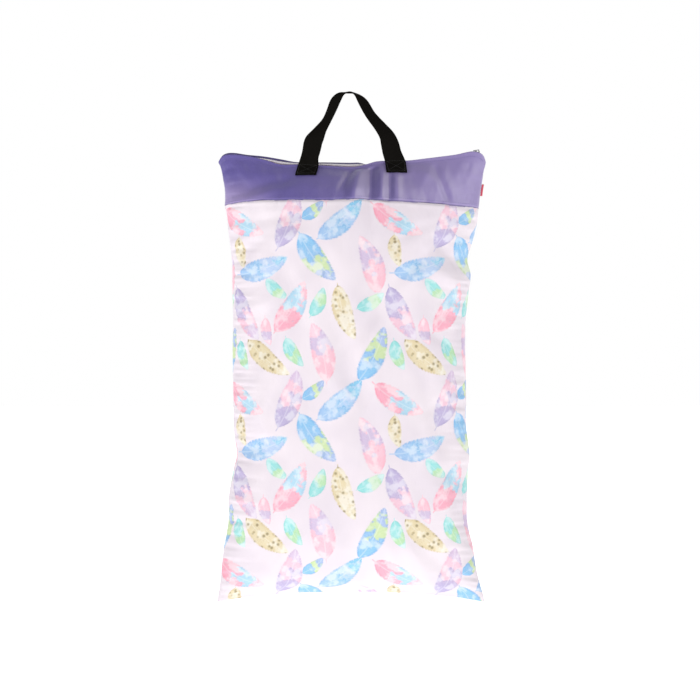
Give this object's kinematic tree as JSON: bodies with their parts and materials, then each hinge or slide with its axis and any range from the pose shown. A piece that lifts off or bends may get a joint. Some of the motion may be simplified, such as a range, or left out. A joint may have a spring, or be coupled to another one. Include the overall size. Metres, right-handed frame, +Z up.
{
  "type": "hanging wet bag",
  "caption": "Tall, filled cloth pouch with a plain top band, a closed zip across the top and a webbing hand loop, shown hanging by the loop.",
  "frame": {"origin": "where a hook bears on the underside of the hand loop, in the middle of its width", "axes": "+Z up, +X to the right seen from the front, -Y to the front, where the hand loop is sewn on"},
  "size_m": [0.4024, 0.1459, 0.7675],
  "materials": {
    "print_cloth": "smooth waterproof cloth with a pastel leaf print",
    "band_cloth": "plain lilac waterproof cloth with a soft sheen",
    "zip_tape": "woven",
    "zip_teeth": "satin",
    "zip_metal": "satin grey",
    "webbing": "ribbed black webbing",
    "label_cloth": "plain woven tape"
  },
  "bodies": {
    "bag": {"pouch": "print_cloth", "band": "band_cloth", "tape_front": "zip_tape", "tape_back": "zip_tape", "teeth": "zip_teeth", "slider": "zip_metal", "handle": "webbing", "side_label": "label_cloth"},
    "pull": {"pull_tab": "zip_metal"}
  },
  "joints": [
    {"name": "pull_swing", "type": "hinge", "parent": "bag", "child": "pull", "pos_m": [0.18811, 0.00068, -0.08724], "axis": [0.019, 0.9928, -0.1179], "range_deg": [0, 186]}
  ]
}
